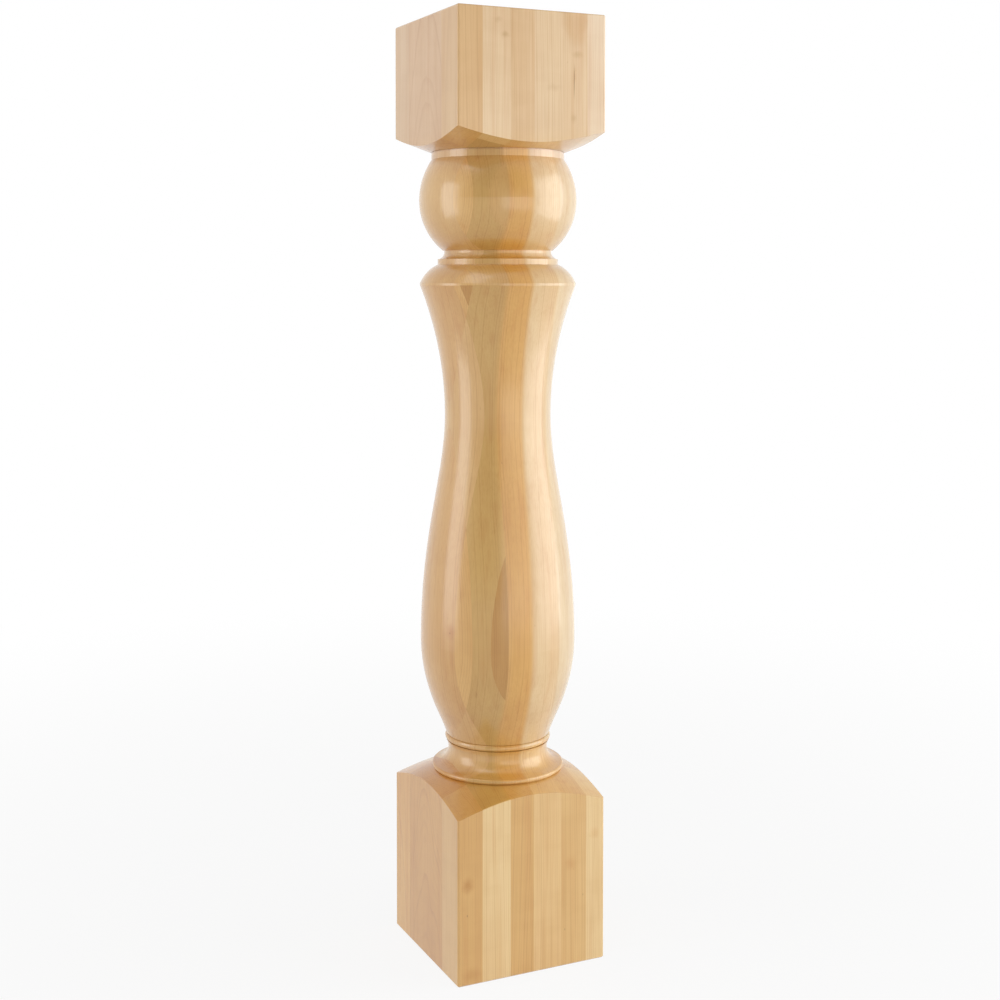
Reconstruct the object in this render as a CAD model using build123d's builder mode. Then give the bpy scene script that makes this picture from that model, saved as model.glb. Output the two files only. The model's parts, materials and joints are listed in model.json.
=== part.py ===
from build123d import *
import os

# A turned wooden post: a square blank with a lathe-turned middle.
# Millimetres, +Z up, origin at the middle of the underside.

# Blank
post_height = 895.35
post_width = 152.4
arris_radius = 2.0
end_chamfer = 1.2

# Square foot, and the conical shoulder that the lathe cut across its corners
foot_corner_height = 153.4
foot_shoulder_rise = 21.0

# Each turned member below is given by its cut: how far the lathe went in from the middle of a flat
# face, so that a wider blank has wider turnings

# Half-round ring at the root of the foot shoulder
ring_height = 4.8
ring_cut = 12.4

# Round cove above the ring, in to its throat and out again to the bead. Its curve leaves the ring
# along the floor handle and meets the bead along the back handle, each given inwards and upwards
cove_height = 22.0
cove_top_cut = 26.2
cove_floor_reach = 10.8
cove_floor_lift = 0.7
cove_back_reach = 5.6
cove_back_drop = 9.3

# Small half-round bead under the vase, with a quirk on both sides
bead_height = 6.4
bead_cut = 25.1

# Vase: the bulb low down, then an ogee to the waist and a flare to the lip
vase_foot_cut = 26.4
bulb_rise = 92.4
bulb_cut = 1.4
waist_drop = 125.2
waist_cut = 24.95
lip_cut = 1.0

# Stations of the vase's three curves. Each row is a point on the way from one end to the other:
# the share of the height, the share of the change in radius, and the slope between the two shares
swell_stations = ((0, 0, 1.26), (0.351, 0.542, 1.397), (1, 1, 0))
ogee_stations = ((0, 0, 0), (0.231, 0.082, 0.685), (0.601, 0.538, 1.62), (1, 1, 0))
flare_stations = ((0, 0, 0), (1, 1, 2.02))

# Narrow lip, and the ovolo that closes the vase
lip_height = 2.2
ovolo_height = 17.6
ovolo_top_cut = 17.4
ovolo_bulge = 2.2

# Fillet band, small cove and plain neck under the ball. The small cove rounds off the corner given
# by its own cut and rise
band_height = 5.4
band_cut = 18.1
neck_cove_height = 5.6
neck_cove_cut = 19.0
neck_cove_corner_cut = 23.3
neck_cove_corner_rise = 1.2
neck_height = 2.5
neck_cut = 24.5

# Ball, fuller above its widest line than below
ball_foot_cut = 23.2
ball_rise = 48.2
ball_cut = 0.2
ball_height = 87.3

# Collar band over the ball, and the groove that parts it from the top shoulder
collar_height = 6.1
collar_cut = 12.1
collar_groove_height = 1.1
collar_groove_cut = 13.2

# Square top, and the conical shoulder below it
top_block_corner_height = 109.2
top_shoulder_rise = 16.8
top_shoulder_root_cut = 11.7

# Levels stacked up from the floor
half_width = post_width / 2
corner_radius = half_width * 2 ** 0.5
ring_level = foot_corner_height + foot_shoulder_rise
cove_level = ring_level + ring_height
bead_level = cove_level + cove_height
vase_level = bead_level + bead_height
bulb_level = vase_level + bulb_rise

# Levels stacked down from the top, so that a taller post has a longer vase
top_corner_level = post_height - top_block_corner_height
top_shoulder_level = top_corner_level - top_shoulder_rise
collar_top_level = top_shoulder_level - collar_groove_height
collar_level = collar_top_level - collar_height
ball_level = collar_level - ball_height
widest_ball_level = ball_level + ball_rise
neck_level = ball_level - neck_height
neck_cove_level = neck_level - neck_cove_height
band_level = neck_cove_level - band_height
ovolo_level = band_level - ovolo_height
lip_level = ovolo_level - lip_height
waist_level = lip_level - waist_drop

# Radii that the cuts leave
ring_radius = half_width - ring_cut
cove_top_radius = half_width - cove_top_cut
bead_radius = half_width - bead_cut
vase_foot_radius = half_width - vase_foot_cut
bulb_radius = half_width - bulb_cut
waist_radius = half_width - waist_cut
lip_radius = half_width - lip_cut
ovolo_top_radius = half_width - ovolo_top_cut
band_radius = half_width - band_cut
neck_cove_radius = half_width - neck_cove_cut
neck_cove_corner_radius = half_width - neck_cove_corner_cut
neck_radius = half_width - neck_cut
ball_foot_radius = half_width - ball_foot_cut
ball_radius = half_width - ball_cut
collar_radius = half_width - collar_cut
collar_groove_radius = half_width - collar_groove_cut
top_shoulder_root_radius = half_width - top_shoulder_root_cut

# Ends of the two half-rounds, which stand out by half their height
ring_root_radius = ring_radius - ring_height / 2
bead_root_radius = bead_radius - bead_height / 2

UP = (0, 1)
DOWN = (0, -1)


def half_round(root_radius, low, high):
    """Draws a half-round member from one level up to another."""
    reach = root_radius + (high - low) * 2 / 3
    Bezier((root_radius, low), (reach, low), (reach, high), (root_radius, high))


def through_stations(stations, start, end):
    """Returns a smooth line from start to end as Bezier points, one curve between each two stations."""
    swell = end[0] - start[0]
    rise = end[1] - start[1]
    curves = []
    for (low, low_share, low_slope), (high, high_share, high_slope) in zip(stations, stations[1:]):
        third = (high - low) / 3
        low_handle = (low_share + low_slope * third, low + third)
        high_handle = (high_share - high_slope * third, high - third)
        shares = ((low_share, low), low_handle, high_handle, (high_share, high))
        curves.append([(start[0] + swell * across, start[1] + rise * up) for across, up in shares])
    return curves


vase_foot = (vase_foot_radius, vase_level)
bulb = (bulb_radius, bulb_level)
waist = (waist_radius, waist_level)
lip = (lip_radius, lip_level)
vase_curves = (
    through_stations(swell_stations, vase_foot, bulb)
    + through_stations(ogee_stations, bulb, waist)
    + through_stations(flare_stations, waist, lip)
)

# Everything the lathe leaves, as slices stacked up the axis
with BuildPart() as turning:
    # Round clear of the square foot, then shoulder, ring, cove and bead
    with BuildSketch(Plane.XZ):
        with BuildLine():
            Polyline(
                (0, vase_level),
                (0, 0),
                (corner_radius, 0),
                (corner_radius, foot_corner_height),
            )
            Line((corner_radius, foot_corner_height), (ring_root_radius, ring_level))
            half_round(ring_root_radius, ring_level, cove_level)
            Bezier(
                (ring_root_radius, cove_level),
                (ring_root_radius - cove_floor_reach, cove_level + cove_floor_lift),
                (cove_top_radius - cove_back_reach, bead_level - cove_back_drop),
                (cove_top_radius, bead_level),
            )
            Line((cove_top_radius, bead_level), (bead_root_radius, bead_level))
            half_round(bead_root_radius, bead_level, vase_level)
            Line((bead_root_radius, vase_level), (0, vase_level))
        make_face()
    revolve(axis=Axis.Z)

    # Vase, one slice between each two stations
    for curve in vase_curves:
        low_end, high_end = curve[0], curve[-1]
        with BuildSketch(Plane.XZ):
            with BuildLine():
                Bezier(*curve)
                Polyline(high_end, (0, high_end[1]), (0, low_end[1]), low_end)
            make_face()
        revolve(axis=Axis.Z)

    # Lip, ovolo, band, neck, ball and collar, then the shoulder and round clear of the square top
    with BuildSketch(Plane.XZ):
        with BuildLine():
            Polyline((0, post_height), (0, lip_level), (lip_radius, lip_level), (lip_radius, ovolo_level))
            SagittaArc((lip_radius, ovolo_level), (ovolo_top_radius, band_level), -ovolo_bulge)
            Polyline(
                (ovolo_top_radius, band_level),
                (band_radius, band_level),
                (band_radius, neck_cove_level),
                (neck_cove_radius, neck_cove_level),
            )
            Bezier(
                (neck_cove_radius, neck_cove_level),
                (neck_cove_corner_radius, neck_cove_level + neck_cove_corner_rise),
                (neck_radius, neck_level),
            )
            Polyline(
                (neck_radius, neck_level),
                (neck_radius, ball_level),
                (ball_foot_radius, ball_level),
            )
            TangentArc((ball_radius, widest_ball_level), (ball_foot_radius, ball_level), tangent=DOWN)
            TangentArc((ball_radius, widest_ball_level), (collar_radius, collar_level), tangent=UP)
            Polyline(
                (collar_radius, collar_level),
                (collar_radius, collar_top_level),
                (collar_groove_radius, collar_top_level),
                (collar_groove_radius, top_shoulder_level),
                (top_shoulder_root_radius, top_shoulder_level),
                (corner_radius, top_corner_level),
                (corner_radius, post_height),
                (0, post_height),
            )
        make_face()
    revolve(axis=Axis.Z)

with BuildPart() as post:
    # Square blank with rounded arrises and chamfered ends
    with BuildSketch(Plane.XY):
        RectangleRounded(post_width, post_width, arris_radius)
    extrude(amount=post_height)
    end_edges = post.edges().group_by(Axis.Z)[0] + post.edges().group_by(Axis.Z)[-1]
    chamfer(end_edges, end_chamfer)

    # What stands outside the turning is cut away
    add(turning.part, mode=Mode.INTERSECT)

post.part.label = "post"

os.makedirs("parts", exist_ok=True)
export_step(post.part, "parts/post.step")
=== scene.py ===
"""Turned wooden post: the square blank glued up from staves, its lathe work and its clear lacquer.

Everything is in metres in the post's own frame: the origin in the middle of the underside, +Z up.
Sizes that read more easily in millimetres are written so and multiplied by MM.
"""

import json
import logging
import math
from dataclasses import dataclass
from enum import Enum

import bpy
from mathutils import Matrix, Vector

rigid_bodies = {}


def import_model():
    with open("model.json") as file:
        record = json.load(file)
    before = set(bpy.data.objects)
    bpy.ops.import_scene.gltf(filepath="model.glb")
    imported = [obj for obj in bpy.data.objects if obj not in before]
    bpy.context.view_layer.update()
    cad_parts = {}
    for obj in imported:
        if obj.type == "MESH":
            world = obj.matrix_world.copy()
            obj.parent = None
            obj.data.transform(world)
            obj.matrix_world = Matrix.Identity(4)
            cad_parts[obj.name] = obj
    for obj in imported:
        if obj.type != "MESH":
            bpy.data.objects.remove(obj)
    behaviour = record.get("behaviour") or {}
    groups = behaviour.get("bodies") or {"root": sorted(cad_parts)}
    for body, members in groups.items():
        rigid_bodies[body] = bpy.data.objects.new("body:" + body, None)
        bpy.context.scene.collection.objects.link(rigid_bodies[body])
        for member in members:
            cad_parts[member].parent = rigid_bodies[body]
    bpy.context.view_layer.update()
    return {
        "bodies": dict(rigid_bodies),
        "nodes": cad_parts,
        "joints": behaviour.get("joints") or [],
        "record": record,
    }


MM: float = 0.001
MM_PER_METRE: float = 1000.0
WHITE: tuple[float, float, float, float] = (1.0, 1.0, 1.0, 1.0)
FRAME_PIXELS: float = 1000.0
SENSOR_WIDTH: float = 36.0

log = logging.getLogger("turned_post")


class Tone(Enum):
    """Colour of one stave under the lacquer, as linear red, green and blue."""

    FROST = (0.88, 0.750, 0.610)
    IVORY = (0.90, 0.715, 0.505)
    MILK = (0.80, 0.670, 0.565)
    PEARL = (0.82, 0.640, 0.485)
    WHEAT = (0.86, 0.640, 0.405)
    CREAM = (0.83, 0.610, 0.365)
    STRAW = (0.81, 0.575, 0.325)
    MAPLE = (0.80, 0.545, 0.290)
    PINK = (0.71, 0.453, 0.238)
    SHELL = (0.74, 0.505, 0.285)
    HONEY = (0.76, 0.500, 0.245)
    TAN = (0.74, 0.475, 0.220)
    ROSE = (0.69, 0.392, 0.138)
    AMBER = (0.78, 0.472, 0.176)
    OLIVE = (0.66, 0.440, 0.200)
    DUSK = (0.70, 0.452, 0.218)
    BROWN = (0.58, 0.330, 0.115)


@dataclass(frozen=True)
class Span:
    """A stretch along one axis, in millimetres."""

    low: float
    high: float

    def middle(self) -> float:
        """Returns: the middle of the stretch."""
        return (self.low + self.high) / 2

    def half(self) -> float:
        """Returns: half its length."""
        return (self.high - self.low) / 2


@dataclass(frozen=True)
class Stave:
    """One piece of wood in the glued blank, as a box through the post.

    The pith is the centre of its growth rings, in millimetres from the stave's own middle line. The
    taper is how fast a ring widens along the post, which draws arches on a flat-sawn face. The blur is
    how far its tone runs into its neighbour, where the two are nearly the same and the glue line is
    hardly seen.
    """

    across: Span
    deep: Span
    tone: Tone
    pith: tuple[float, float]
    taper: float = 0.02
    along: Span = Span(-20.0, 920.0)
    blur: float = 0.0

    def middle(self) -> tuple[float, float, float]:
        """Returns: the middle of the box, in millimetres."""
        return self.across.middle(), self.deep.middle(), self.along.middle()

    def half(self) -> tuple[float, float, float]:
        """Returns: half the box's size along each axis, in millimetres."""
        return self.across.half(), self.deep.half(), self.along.half()

    def ring_centre(self) -> tuple[float, float, float]:
        """Returns: where the pith stands in the post, and the taper as the third number."""
        x, y, _ = self.middle()
        return x + self.pith[0], y + self.pith[1], self.taper


@dataclass
class NodeSheet:
    """A material's node tree, with one short method for each kind of node that the wood uses."""

    tree: bpy.types.NodeTree

    def add(self, kind: str, **settings: object) -> bpy.types.Node:
        """Adds a node.

        Args:
            kind: the node's type name.
            settings: attributes to set on the node.

        Returns:
            The new node.
        """
        node = self.tree.nodes.new(kind)
        for name, value in settings.items():
            setattr(node, name, value)
        return node

    def feed(self, socket: bpy.types.NodeSocket, value: object) -> None:
        """Links an output to a socket, or writes a plain value on it.

        Args:
            socket: the input to fill.
            value: an output socket, a number or a tuple.
        """
        if isinstance(value, bpy.types.NodeSocket):
            self.tree.links.new(value, socket)
        else:
            socket.default_value = value

    def math(self, operation: str, *values: object, clamp: bool = False) -> bpy.types.NodeSocket:
        """Adds a Math node.

        Args:
            operation: the operation's name.
            values: its inputs in order.
            clamp: whether the result is kept between 0 and 1.

        Returns:
            The result's socket.
        """
        node = self.add("ShaderNodeMath", operation=operation, use_clamp=clamp)
        for socket, value in zip(node.inputs, values):
            self.feed(socket, value)
        return node.outputs[0]

    def vector(self, operation: str, *values: object) -> bpy.types.NodeSocket:
        """Adds a Vector Math node.

        Args:
            operation: the operation's name.
            values: its vector inputs in order.

        Returns:
            The vector result, or the number for LENGTH, DISTANCE and DOT_PRODUCT.
        """
        node = self.add("ShaderNodeVectorMath", operation=operation)
        for socket, value in zip(node.inputs, values):
            self.feed(socket, value)
        number = operation in {"LENGTH", "DISTANCE", "DOT_PRODUCT"}
        return node.outputs["Value" if number else "Vector"]

    def scaled(self, vector: bpy.types.NodeSocket, factors: tuple[float, float, float]) -> bpy.types.NodeSocket:
        """Returns: the vector times one factor for each axis."""
        return self.vector("MULTIPLY", vector, factors)

    def parts(self, vector: bpy.types.NodeSocket) -> tuple[bpy.types.NodeSocket, ...]:
        """Returns: the x, y and z sockets of a vector."""
        node = self.add("ShaderNodeSeparateXYZ")
        self.feed(node.inputs[0], vector)
        return tuple(node.outputs)

    def joined(self, x: object, y: object, z: object) -> bpy.types.NodeSocket:
        """Returns: a vector from three numbers or sockets."""
        node = self.add("ShaderNodeCombineXYZ")
        for socket, value in zip(node.inputs, (x, y, z)):
            self.feed(socket, value)
        return node.outputs[0]

    def noise(
        self, vector: bpy.types.NodeSocket, scale: float, detail: float = 2.0, rough: float = 0.5
    ) -> bpy.types.NodeSocket:
        """Adds a noise texture.

        Args:
            vector: where it is read.
            scale: its scale.
            detail: its number of octaves.
            rough: how strong the finer octaves are.

        Returns:
            The noise from 0 to 1.
        """
        node = self.add("ShaderNodeTexNoise", noise_dimensions="3D")
        self.feed(node.inputs["Vector"], vector)
        node.inputs["Scale"].default_value = scale
        node.inputs["Detail"].default_value = detail
        node.inputs["Roughness"].default_value = rough
        return node.outputs["Fac"]

    def steps(
        self, value: object, low: float, high: float, to: tuple[float, float] = (0.0, 1.0)
    ) -> bpy.types.NodeSocket:
        """Adds a smooth Map Range.

        Args:
            value: what is mapped.
            low: where the result starts to change.
            high: where it has changed.
            to: the results at low and at high.

        Returns:
            The mapped value.
        """
        node = self.add("ShaderNodeMapRange", interpolation_type="SMOOTHSTEP")
        for name, number in zip(("Value", "From Min", "From Max", "To Min", "To Max"), (value, low, high, *to)):
            self.feed(node.inputs[name], number)
        return node.outputs["Result"]

    def mixed(
        self, share: object, first: object, second: object, kind: str = "RGBA", blend: str = "MIX"
    ) -> bpy.types.NodeSocket:
        """Adds a Mix node.

        Args:
            share: how much of the second there is, from 0 to 1.
            first: the input at share 0.
            second: the input at share 1.
            kind: RGBA, VECTOR or FLOAT.
            blend: the blend type of an RGBA mix.

        Returns:
            The mixed value.
        """
        node = self.add("ShaderNodeMix", data_type=kind)
        if kind == "RGBA":
            node.blend_type = blend
        places = {"FLOAT": (2, 3, 0), "VECTOR": (4, 5, 1), "RGBA": (6, 7, 2)}
        a, b, out = places[kind]
        self.feed(node.inputs[0], share)
        self.feed(node.inputs[a], first)
        self.feed(node.inputs[b], second)
        return node.outputs[out]


@dataclass(frozen=True)
class Mark:
    """A small blemish in the wood: a drying check, a stain or a speck.

    Its middle and half sizes are in millimetres, and it fades out from the middle over its softness. A
    wavy one has an uneven outline.
    """

    middle: tuple[float, float, float]
    half: tuple[float, float, float]
    tint: tuple[float, float, float]
    strength: float
    softness: float = 0.7
    wavy: bool = True

    def paint(
        self, sheet: NodeSheet, place: bpy.types.NodeSocket, colour: bpy.types.NodeSocket
    ) -> bpy.types.NodeSocket:
        """Lays the mark over a colour.

        Args:
            sheet: the material's nodes.
            place: the point in millimetres.
            colour: the wood's colour so far.

        Returns:
            The colour with the mark in it.
        """
        away = sheet.vector("DIVIDE", sheet.vector("SUBTRACT", place, self.middle), self.half)
        reach = sheet.vector("LENGTH", away)
        share = sheet.steps(reach, 1.0 - self.softness, 1.0, (self.strength, 0.0))
        return sheet.mixed(share, colour, (*self.tint, 1.0), blend="MULTIPLY")


@dataclass(frozen=True)
class Grain:
    """What the pattern gives at each point: rings, fibre and figure from 0 to 1."""

    rings: bpy.types.NodeSocket
    fibre: bpy.types.NodeSocket
    figure: bpy.types.NodeSocket


@dataclass(frozen=True)
class Glue:
    """What the glue-up gives at each point: the stave's tone, pith, number and the way to its seam."""

    tone: bpy.types.NodeSocket
    pith: bpy.types.NodeSocket
    seed: bpy.types.NodeSocket
    seam: bpy.types.NodeSocket


@dataclass(frozen=True)
class LacqueredWood:
    """Pale staves under a clear half-gloss lacquer, cut from one solid pattern.

    Lengths are in millimetres: seed_shift moves each stave's pattern along the post, sway and ripple
    bend its growth rings, and ring_spacing is the narrowest and widest distance between two rings.
    """

    name: str
    staves: tuple[Stave, ...]
    marks: tuple[Mark, ...]
    roughness: float = 0.46
    specular: float = 0.40
    coat_weight: float = 1.0
    coat_roughness: float = 0.19
    coat_ior: float = 1.52
    seed_shift: float = 137.0
    sway: float = 8.0
    ripple: float = 1.1
    ring_spacing: tuple[float, float] = (1.5, 2.8)
    bump_strength: float = 0.22
    bump_distance: float = 0.03 * MM

    def build(self) -> bpy.types.Material:
        """Makes the material.

        Returns:
            The finished material.
        """
        material = bpy.data.materials.new(self.name)
        material.use_nodes = True
        material.node_tree.nodes.clear()
        sheet = NodeSheet(material.node_tree)
        place = sheet.scaled(sheet.add("ShaderNodeTexCoord").outputs["Object"], (MM_PER_METRE,) * 3)
        glue = self.glue_up(sheet, place)
        grain = self.grain(sheet, place, glue)
        shader = sheet.add("ShaderNodeBsdfPrincipled")
        sheet.feed(shader.inputs["Base Color"], self.colour(sheet, place, glue, grain))
        gloss = sheet.steps(grain.fibre, 0.2, 0.8, (self.roughness - 0.05, self.roughness + 0.07))
        sheet.feed(shader.inputs["Roughness"], gloss)
        shader.inputs["Specular IOR Level"].default_value = self.specular
        shader.inputs["Coat Weight"].default_value = self.coat_weight
        shader.inputs["Coat Roughness"].default_value = self.coat_roughness
        shader.inputs["Coat IOR"].default_value = self.coat_ior
        sheet.feed(shader.inputs["Normal"], self.relief(sheet, place, glue, grain))
        output = sheet.add("ShaderNodeOutputMaterial")
        sheet.feed(output.inputs["Surface"], shader.outputs[0])
        return material

    def glue_up(self, sheet: NodeSheet, place: bpy.types.NodeSocket) -> Glue:
        """Finds which stave each point lies in.

        Args:
            sheet: the material's nodes.
            place: the point in millimetres.

        Returns:
            The stave's tone, ring centre with taper, own number and the way to its nearest seam.
        """
        first = self.staves[0]
        tone: object = (*first.tone.value, 1.0)
        pith: object = first.ring_centre()
        seed: object = 0.0
        seam: object = 5.0
        for number, stave in enumerate(self.staves):
            away = sheet.vector("ABSOLUTE", sheet.vector("SUBTRACT", place, stave.middle()))
            x, y, z = sheet.parts(sheet.vector("SUBTRACT", stave.half(), away))
            inside = sheet.math("MINIMUM", sheet.math("MINIMUM", x, y), z)
            here = sheet.math("GREATER_THAN", inside, 0.0)
            share = sheet.steps(inside, -stave.blur, stave.blur) if stave.blur else here
            tone = sheet.mixed(share, tone, (*stave.tone.value, 1.0))
            pith = sheet.mixed(here, pith, stave.ring_centre(), "VECTOR")
            seed = sheet.mixed(here, seed, 1.0 + number, "FLOAT")
            seam = sheet.mixed(here, seam, inside, "FLOAT")
        return Glue(tone, pith, seed, seam)

    def grain(self, sheet: NodeSheet, place: bpy.types.NodeSocket, glue: Glue) -> Grain:
        """Draws the growth rings, the fine fibre and the figure across them.

        Args:
            sheet: the material's nodes.
            place: the point in millimetres.
            glue: the stave that it lies in.

        Returns:
            The dark late wood of each ring, the fibre and the figure.
        """
        x, y, z = sheet.parts(place)
        centre_x, centre_y, taper = sheet.parts(glue.pith)
        shift = sheet.math("MULTIPLY", glue.seed, self.seed_shift)
        own = sheet.joined(x, y, sheet.math("ADD", z, shift))
        sway = sheet.math("SUBTRACT", sheet.noise(sheet.scaled(own, (1.0, 1.0, 0.13)), 0.030, 1.0), 0.5)
        ripple = sheet.math("SUBTRACT", sheet.noise(sheet.scaled(own, (1.0, 1.0, 0.06)), 0.17, 2.0), 0.5)
        flat = sheet.joined(sheet.math("SUBTRACT", x, centre_x), sheet.math("SUBTRACT", y, centre_y), 0.0)
        radius = sheet.math("ADD", sheet.vector("LENGTH", flat), sheet.math("MULTIPLY", z, taper))
        radius = sheet.math("ADD", radius, sheet.math("MULTIPLY", sway, self.sway))
        radius = sheet.math("ADD", radius, sheet.math("MULTIPLY", ripple, self.ripple))
        spacing = sheet.add("ShaderNodeTexWhiteNoise", noise_dimensions="1D")
        sheet.feed(spacing.inputs["W"], glue.seed)
        turn = sheet.math("DIVIDE", radius, sheet.steps(spacing.outputs["Value"], 0.0, 1.0, self.ring_spacing))
        inside = sheet.math("FRACT", turn)
        late = sheet.math("MULTIPLY", sheet.steps(inside, 0.45, 0.96), sheet.steps(inside, 1.0, 0.96))
        pick = sheet.add("ShaderNodeTexWhiteNoise", noise_dimensions="1D")
        sheet.feed(pick.inputs["W"], sheet.math("ADD", sheet.math("FLOOR", turn), shift))
        rings = sheet.math("MULTIPLY", late, sheet.steps(pick.outputs["Value"], 0.25, 0.95, (0.08, 1.0)))
        fibre = sheet.noise(sheet.scaled(own, (1.0, 1.0, 0.012)), 1.0, 3.0, 0.60)
        figure = sheet.noise(sheet.scaled(own, (0.30, 0.30, 1.0)), 0.055, 2.0)
        return Grain(rings, fibre, figure)

    def colour(self, sheet: NodeSheet, place: bpy.types.NodeSocket, glue: Glue, grain: Grain) -> bpy.types.NodeSocket:
        """Mixes the wood's colour.

        Args:
            sheet: the material's nodes.
            place: the point in millimetres.
            glue: the stave that it lies in.
            grain: its rings, fibre and figure.

        Returns:
            The colour's socket.
        """
        x, y, z = sheet.parts(place)
        warmth = sheet.steps(z, 792.0, 740.0, (0.0, 0.9))
        colour = sheet.mixed(warmth, glue.tone, (0.98, 0.895, 0.60, 1.0), blend="MULTIPLY")
        tilt = sheet.math("ABSOLUTE", sheet.parts(sheet.add("ShaderNodeNewGeometry").outputs["Normal"])[2])
        colour = sheet.mixed(sheet.steps(tilt, 0.15, 1.0), colour, (0.90, 0.79, 0.53, 1.0), blend="MULTIPLY")
        drift = sheet.joined(x, y, sheet.math("ADD", z, sheet.math("MULTIPLY", glue.seed, 71.0)))
        cloud = sheet.noise(sheet.scaled(drift, (1.0, 1.0, 0.22)), 0.028, 3.0)
        streak = sheet.noise(sheet.scaled(drift, (1.0, 1.0, 0.030)), 0.16, 2.0)
        speck = sheet.noise(sheet.scaled(drift, (1.0, 1.0, 0.16)), 0.8, 1.0)
        washes = (
            (sheet.steps(cloud, 0.36, 0.70, (0.0, 0.42)), (0.84, 0.71, 0.55)),
            (sheet.steps(streak, 0.50, 0.74, (0.0, 0.34)), (0.86, 0.68, 0.54)),
            (sheet.steps(grain.figure, 0.42, 0.68, (0.0, 0.20)), (0.88, 0.82, 0.74)),
            (sheet.math("MULTIPLY", grain.rings, 0.34), (0.68, 0.48, 0.30)),
            (sheet.steps(grain.fibre, 0.40, 0.74, (0.0, 0.26)), (0.76, 0.60, 0.44)),
            (sheet.steps(speck, 0.79, 0.85, (0.0, 0.5)), (0.52, 0.34, 0.20)),
            (sheet.steps(glue.seam, 0.0, 0.16, (0.06, 0.0)), (0.50, 0.33, 0.18)),
        )
        for share, tint in washes:
            colour = sheet.mixed(share, colour, (*tint, 1.0), blend="MULTIPLY")
        stir = sheet.add("ShaderNodeTexNoise", noise_dimensions="3D")
        sheet.feed(stir.inputs["Vector"], place)
        stir.inputs["Scale"].default_value = 0.14
        nudge = sheet.scaled(sheet.vector("SUBTRACT", stir.outputs["Color"], (0.5, 0.5, 0.5)), (5.0, 5.0, 5.0))
        stirred = sheet.vector("ADD", place, nudge)
        for mark in self.marks:
            colour = mark.paint(sheet, stirred if mark.wavy else place, colour)
        return colour

    def relief(self, sheet: NodeSheet, place: bpy.types.NodeSocket, glue: Glue, grain: Grain) -> bpy.types.NodeSocket:
        """Gives the surface its very slight relief, with the faint rings that the lathe leaves.

        Args:
            sheet: the material's nodes.
            place: the point in millimetres.
            glue: the stave that it lies in.
            grain: its rings, fibre and figure.

        Returns:
            The bumped normal.
        """
        lathe = sheet.noise(sheet.scaled(place, (0.02, 0.02, 1.0)), 0.9, 2.0)
        height = sheet.math("ADD", sheet.math("MULTIPLY", grain.rings, 0.4), sheet.math("MULTIPLY", grain.fibre, 0.5))
        height = sheet.math("ADD", height, sheet.math("MULTIPLY", lathe, 0.25))
        height = sheet.math("MULTIPLY", height, sheet.steps(glue.seam, 0.0, 0.3, (0.6, 1.0)))
        bump = sheet.add("ShaderNodeBump")
        bump.inputs["Strength"].default_value = self.bump_strength
        bump.inputs["Distance"].default_value = self.bump_distance
        sheet.feed(bump.inputs["Height"], height)
        return bump.outputs[0]


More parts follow.
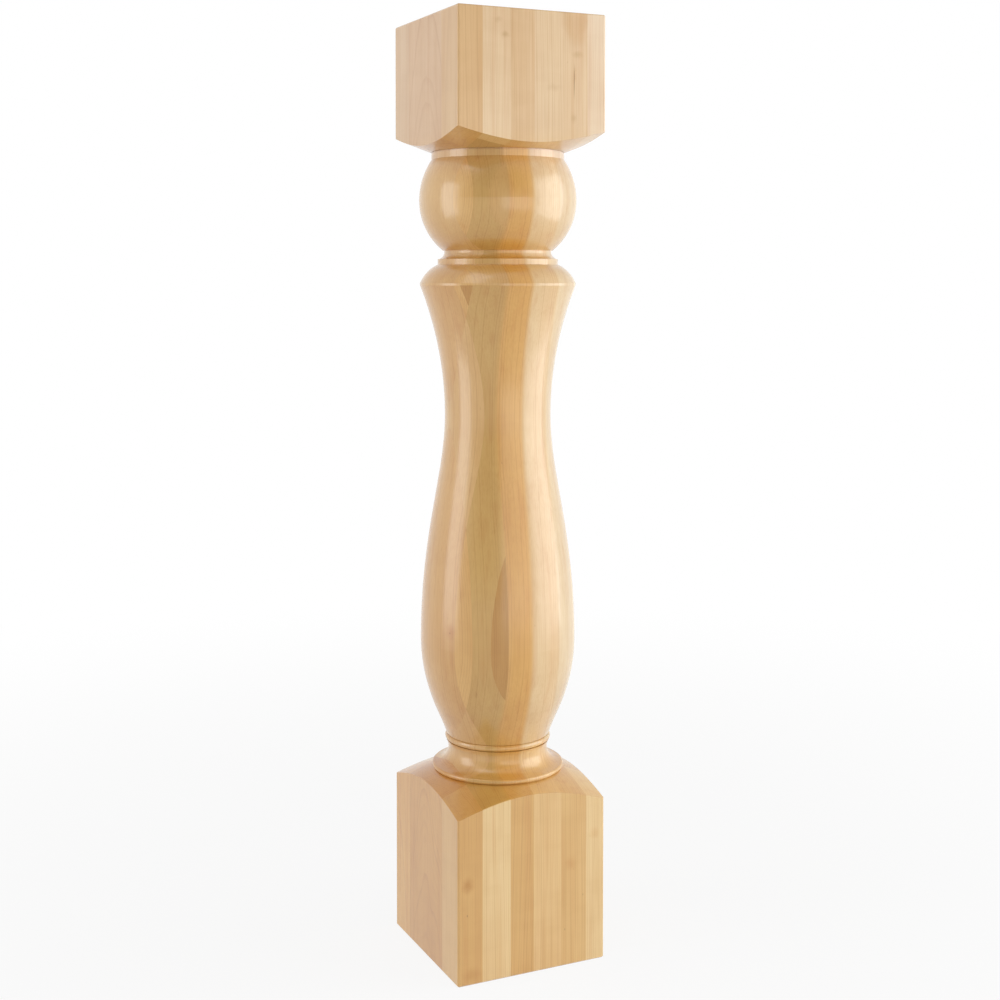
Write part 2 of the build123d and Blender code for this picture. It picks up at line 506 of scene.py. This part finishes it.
@dataclass(frozen=True)
class GluedBlank:
    """The staves of the blank, six layers side by side, each made up of strips, and their blemishes.

    The later staves change a strip's tone over part of its length, or only near the front face. One of them is
    painted reflection: the brown on the second layer's outer strip across the bulb and waist stands in for the
    lacquer mirroring the dark room in front.
    """

    edge: float = 80.0

    def staves(self) -> tuple[Stave, ...]:
        """Returns: every stave, a later one lying over an earlier."""
        e = self.edge
        first = Span(-e, -51.5)
        second = Span(-51.5, -22.6)
        third = Span(-22.6, 1.2)
        fourth = Span(1.2, 30.2)
        fifth = Span(30.2, 56.6)
        sixth = Span(56.6, e)
        outer = Span(-e, -64.5)
        head = Span(770.0, 920.0)
        neck = Span(642.0, 770.0)
        vase = Span(205.0, 660.0)
        foot = Span(-20.0, 205.0)
        return (
            Stave(first, Span(-e, -39.5), Tone.HONEY, (150.0, 6.0), 0.004),
            Stave(first, Span(-39.5, 39.8), Tone.PINK, (66.0, -2.0), 0.11),
            Stave(first, Span(39.8, e), Tone.SHELL, (90.0, 20.0), 0.02),
            Stave(first, Span(39.8, e), Tone.AMBER, (90.0, 20.0), 0.02, foot),
            Stave(second, Span(-e, -39.5), Tone.OLIVE, (150.0, -14.0), 0.006),
            Stave(second, Span(-39.5, 20.0), Tone.SHELL, (30.0, -120.0), 0.01),
            Stave(second, Span(20.0, e), Tone.CREAM, (-30.0, 80.0), 0.02),
            Stave(third, Span(-e, -8.0), Tone.AMBER, (160.0, -16.0), 0.008, blur=5.5),
            Stave(third, Span(-8.0, e), Tone.MAPLE, (-50.0, 70.0), 0.03),
            Stave(fourth, Span(-e, 12.0), Tone.PEARL, (-150.0, -10.0), 0.006, blur=3.0),
            Stave(fourth, Span(12.0, e), Tone.HONEY, (40.0, -75.0), 0.05),
            Stave(fifth, Span(-e, -20.0), Tone.MILK, (-140.0, -15.0), 0.010, blur=4.0),
            Stave(fifth, Span(-20.0, e), Tone.PINK, (20.0, 85.0), 0.06),
            Stave(sixth, Span(-e, -30.0), Tone.IVORY, (-130.0, 0.0), 0.010),
            Stave(sixth, Span(-30.0, 34.0), Tone.STRAW, (-60.0, 5.0), 0.09),
            Stave(sixth, Span(34.0, e), Tone.TAN, (-70.0, -25.0), 0.02),
            Stave(first, Span(-39.5, 39.8), Tone.PINK, (36.0, -120.0), 0.012, vase),
            Stave(first, Span(-39.5, 39.8), Tone.SHELL, (60.0, -90.0), 0.02, neck),
            Stave(first, Span(-e, -39.5), Tone.TAN, (150.0, 6.0), 0.004, head),
            Stave(first, Span(-e, -45.0), Tone.BROWN, (150.0, 6.0), 0.004, Span(560.0, 642.0)),
            # Painted reflection: this strip is cream on the blocks and ball, and the brown here paints the lacquer's
            # dark reflection of the room across the bulb and waist.
            Stave(second, outer, Tone.BROWN, (150.0, 4.0), 0.004, Span(230.0, 560.0)),
            Stave(second, outer, Tone.CREAM, (-150.0, 6.0), 0.004, head),
            Stave(second, outer, Tone.DUSK, (-150.0, 6.0), 0.010, neck, 2.5),
            Stave(second, Span(-e, -75.6), Tone.IVORY, (-150.0, 6.0), 0.004, foot),
            Stave(second, Span(-e, -39.5), Tone.SHELL, (-150.0, 6.0), 0.004, Span(642.0, 662.0)),
            Stave(sixth, Span(-e, -30.0), Tone.FROST, (-130.0, 0.0), 0.010, Span(205.0, 770.0), 2.0),
            Stave(first, Span(-39.5, 39.8), Tone.ROSE, (66.0, -2.0), 0.11, foot),
            Stave(third, outer, Tone.STRAW, (150.0, -10.0), 0.006, head),
            Stave(third, Span(-e, -8.0), Tone.HONEY, (70.0, 26.0), 0.035, Span(-20.0, 178.0)),
            Stave(fourth, Span(-e, 12.0), Tone.WHEAT, (-150.0, -10.0), 0.006, foot),
            Stave(fourth, Span(-e, 12.0), Tone.CREAM, (-150.0, -10.0), 0.006, head),
            Stave(fifth, Span(-e, -20.0), Tone.STRAW, (-140.0, -15.0), 0.010, foot),
            Stave(fifth, Span(-e, -20.0), Tone.CREAM, (-140.0, -15.0), 0.010, head),
        )

    def marks(self) -> tuple[Mark, ...]:
        """Returns: the blemishes that show on the two near faces and on the turned part."""
        dark, rust, grey = (0.30, 0.17, 0.09), (0.78, 0.52, 0.28), (0.74, 0.62, 0.48)
        stain = (0.74, 0.57, 0.32)
        return (
            Mark((42.4, -76.2, 831.0), (0.50, 3.0, 20.5), (0.38, 0.20, 0.08), 0.92, 0.8, False),
            Mark((42.9, -76.2, 838.0), (2.2, 3.0, 12.0), rust, 0.35, 1.0),
            Mark((43.5, -76.2, 891.0), (17.0, 12.0, 32.0), (0.90, 0.80, 0.68), 0.75, 0.5),
            Mark((-66.5, -76.2, 93.0), (8.5, 6.0, 11.0), stain, 0.75, 1.0),
            Mark((-62.0, -76.2, 9.0), (15.0, 6.0, 10.0), stain, 0.45, 1.0),
            Mark((-29.0, -76.2, 869.9), (6.5, 5.0, 4.6), grey, 0.62, 1.0),
            Mark((-36.0, -76.2, 884.0), (6.0, 5.0, 4.2), grey, 0.40, 1.0),
            Mark((46.0, -76.2, 856.0), (9.0, 5.0, 5.2), grey, 0.45, 1.0),
            Mark((42.0, -76.2, 797.0), (5.0, 5.0, 7.0), grey, 0.40, 1.0),
            Mark((21.0, -76.2, 825.0), (10.0, 5.0, 4.5), grey, 0.28, 1.0),
            Mark((40.0, -76.2, 96.0), (9.0, 6.0, 9.0), rust, 0.30, 1.0),
            Mark((66.0, -76.2, 122.0), (8.0, 6.0, 8.0), rust, 0.28, 1.0),
            Mark((-67.0, -76.2, 65.1), (0.7, 1.0, 1.7), dark, 0.60, 0.8, False),
            Mark((53.4, -76.2, 64.6), (0.6, 1.0, 1.6), dark, 0.45, 0.8, False),
            Mark((34.0, -76.2, 34.6), (0.6, 1.0, 1.6), dark, 0.45, 0.8, False),
            Mark((-65.8, -35.3, 318.0), (7.0, 7.0, 11.0), rust, 0.50, 1.0),
            Mark((-66.2, -34.9, 316.5), (1.0, 1.2, 1.6), dark, 0.50, 0.9, False),
            Mark((-45.9, -50.1, 261.3), (3.0, 3.0, 5.0), grey, 0.60, 1.0),
            Mark((-6.7, -69.7, 365.0), (0.7, 1.2, 1.4), dark, 0.60, 0.8, False),
            Mark((-40.0, -64.0, 688.0), (1.4, 2.5, 4.4), dark, 0.45, 1.0),
        )


@dataclass
class Post:
    """The post itself: one solid turned from the glued blank."""

    node: str = "post"

    def dress(self, frame: dict) -> None:
        """Gives the post its wood.

        Args:
            frame: what the frame holds.
        """
        blank = GluedBlank()
        wood = LacqueredWood("lacquered_staves", blank.staves(), blank.marks()).build()
        piece = frame["nodes"][self.node]
        piece.data.materials.clear()
        piece.data.materials.append(wood)
        log.info("%s: dressed, %d triangles", piece.name, len(piece.data.polygons))


@dataclass(frozen=True)
class PhotoCamera:
    """The camera that took the picture, fitted to the post's corners and outline.

    The picture's uprights are parallel, which a level camera gives with a shift of -0.31. A slight
    tilt takes over part of that shift, so that more of the post stays in the frame from other sides.
    """

    place: tuple[float, float, float] = (-634.6 * MM, -1331.5 * MM, 651.7 * MM)
    heading: float = math.radians(24.73)
    tilt: float = math.radians(1.70)
    focal_pixels: float = 1524.0
    axis_column: float = 477.7
    shift_y: float = -0.18
    clip_end: float = 50.0

    def build(self) -> bpy.types.Object:
        """Adds the camera and makes it the scene's.

        Returns:
            The camera.
        """
        data = bpy.data.cameras.new("photo_camera")
        data.sensor_width = SENSOR_WIDTH
        data.lens = SENSOR_WIDTH * self.focal_pixels / FRAME_PIXELS
        data.shift_x = (FRAME_PIXELS / 2 - self.axis_column) / FRAME_PIXELS
        data.shift_y = self.shift_y
        data.clip_end = self.clip_end
        camera = bpy.data.objects.new("photo_camera", data)
        camera.location = self.place
        camera.rotation_euler = (math.radians(90.0) - self.tilt, 0.0, -self.heading)
        bpy.context.scene.collection.objects.link(camera)
        bpy.context.scene.camera = camera
        log.info("camera: %.2f mm lens at %s", data.lens, tuple(round(v, 3) for v in camera.location))
        return camera


@dataclass(frozen=True)
class SoftBox:
    """A flat soft lamp that looks at the post."""

    name: str
    bearing: float
    distance: float
    height: float
    width: float
    tall: float
    power: float
    target: float = 0.46

    def build(self, heading: float) -> bpy.types.Object:
        """Adds the lamp.

        Args:
            heading: the camera's heading, from which the bearing is measured.

        Returns:
            The lamp.
        """
        data = bpy.data.lights.new(self.name, "AREA")
        data.shape = "RECTANGLE"
        data.size = self.width
        data.size_y = self.tall
        data.energy = self.power
        lamp = bpy.data.objects.new(self.name, data)
        turn = heading + math.radians(self.bearing)
        lamp.location = (-self.distance * math.sin(turn), -self.distance * math.cos(turn), self.height)
        aim = Vector((0.0, 0.0, self.target)) - Vector(lamp.location)
        lamp.rotation_euler = aim.to_track_quat("-Z", "Y").to_euler()
        bpy.context.scene.collection.objects.link(lamp)
        return lamp


@dataclass
class Studio:
    """White sweep, soft world and the soft boxes."""

    floor_size: float = 80.0
    paper: float = 0.76
    near_share: float = 0.88
    world_strength: float = 0.40
    room_strength: float = 0.12
    room_colour: tuple[float, float, float, float] = (1.0, 0.86, 0.66, 1.0)

    def build(self, heading: float) -> None:
        """Makes the floor, the world and the lamps.

        Args:
            heading: the camera's heading.
        """
        self.floor()
        self.world(heading)
        boxes = (
            SoftBox("box_left", 74.0, 1.6, 0.66, 0.8, 1.3, 9.0),
            SoftBox("box_right", -84.0, 1.6, 0.70, 1.5, 1.6, 18.5),
            SoftBox("box_top", 48.0, 1.0, 2.2, 0.9, 0.9, 4.0),
            SoftBox("box_fill", -28.0, 2.2, 0.45, 1.8, 1.2, 10.0),
        )
        for box in boxes:
            box.build(heading)

    def seen(self, sheet: NodeSheet) -> tuple[bpy.types.NodeSocket, bpy.types.NodeSocket]:
        """Tells how a ray sees the background.

        Args:
            sheet: the nodes of the floor or the world.

        Returns:
            Whether it comes from the camera, and whether from a gloss or through glass.
        """
        path = sheet.add("ShaderNodeLightPath")
        glossy = sheet.math("ADD", path.outputs["Is Glossy Ray"], path.outputs["Is Transmission Ray"], clamp=True)
        return path.outputs["Is Camera Ray"], glossy

    def floor(self) -> None:
        """Adds the plain pale floor, which keeps the post's shadow and is white far from it."""
        bpy.ops.object.select_all(action="DESELECT")
        bpy.ops.mesh.primitive_plane_add(size=self.floor_size, location=(0.0, 0.0, 0.0))
        floor = bpy.context.object
        floor.name = "studio_floor"
        material = bpy.data.materials.new("studio_paper")
        material.use_nodes = True
        material.node_tree.nodes.clear()
        sheet = NodeSheet(material.node_tree)
        paper = sheet.add("ShaderNodeBsdfDiffuse")
        paper.inputs["Color"].default_value = (self.paper, self.paper, self.paper, 1.0)
        glow = sheet.add("ShaderNodeEmission")
        glow.inputs["Color"].default_value = WHITE
        away = sheet.vector("LENGTH", sheet.add("ShaderNodeTexCoord").outputs["Object"])
        straight, glossy = self.seen(sheet)
        seen = sheet.math("ADD", straight, glossy, clamp=True)
        share = sheet.math("MULTIPLY", seen, sheet.steps(away, 0.25, 1.6, (self.near_share, 1.0)))
        blend = sheet.add("ShaderNodeMixShader")
        sheet.feed(blend.inputs[0], share)
        sheet.feed(blend.inputs[1], paper.outputs[0])
        sheet.feed(blend.inputs[2], glow.outputs[0])
        output = sheet.add("ShaderNodeOutputMaterial")
        sheet.feed(output.inputs["Surface"], blend.outputs[0])
        floor.data.materials.append(material)

    def world(self, heading: float) -> None:
        """Sets the world: plain soft light, and white where it is seen straight or in a gloss.

        A gloss that looks to the camera's side sees the darker, slightly warm room there.

        Args:
            heading: the camera's heading.
        """
        world = bpy.data.worlds.new("studio_world")
        bpy.context.scene.world = world
        world.use_nodes = True
        world.node_tree.nodes.clear()
        sheet = NodeSheet(world.node_tree)
        straight, glossy = self.seen(sheet)
        room = (-math.sin(heading), -math.cos(heading), 0.0)
        facing = sheet.vector("DOT_PRODUCT", sheet.add("ShaderNodeTexCoord").outputs["Generated"], room)
        height = sheet.parts(sheet.vector("NORMALIZE", sheet.add("ShaderNodeTexCoord").outputs["Generated"]))[2]
        room_light = sheet.steps(height, -0.05, 0.65, (3.2 * self.room_strength, self.room_strength))
        mirrored = sheet.mixed(sheet.steps(facing, 0.35, 0.90), 1.0, room_light, "FLOAT")
        strength = sheet.mixed(glossy, self.world_strength, mirrored, "FLOAT")
        strength = sheet.mixed(straight, strength, 1.0, "FLOAT")
        light = sheet.add("ShaderNodeBackground")
        dim = sheet.math("MULTIPLY", glossy, sheet.steps(facing, 0.35, 0.90))
        sheet.feed(light.inputs["Color"], sheet.mixed(dim, WHITE, self.room_colour))
        sheet.feed(light.inputs["Strength"], strength)
        output = sheet.add("ShaderNodeOutputWorld")
        sheet.feed(output.inputs["Surface"], light.outputs[0])


def main() -> None:
    """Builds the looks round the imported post, piece by piece."""
    logging.basicConfig(level=logging.INFO, format="%(name)s: %(message)s")
    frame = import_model()
    camera = PhotoCamera()
    camera.build()
    bpy.context.scene.view_settings.view_transform = "Standard"
    Studio().build(camera.heading)
    Post().dress(frame)


if __name__ == "__main__":
    main()
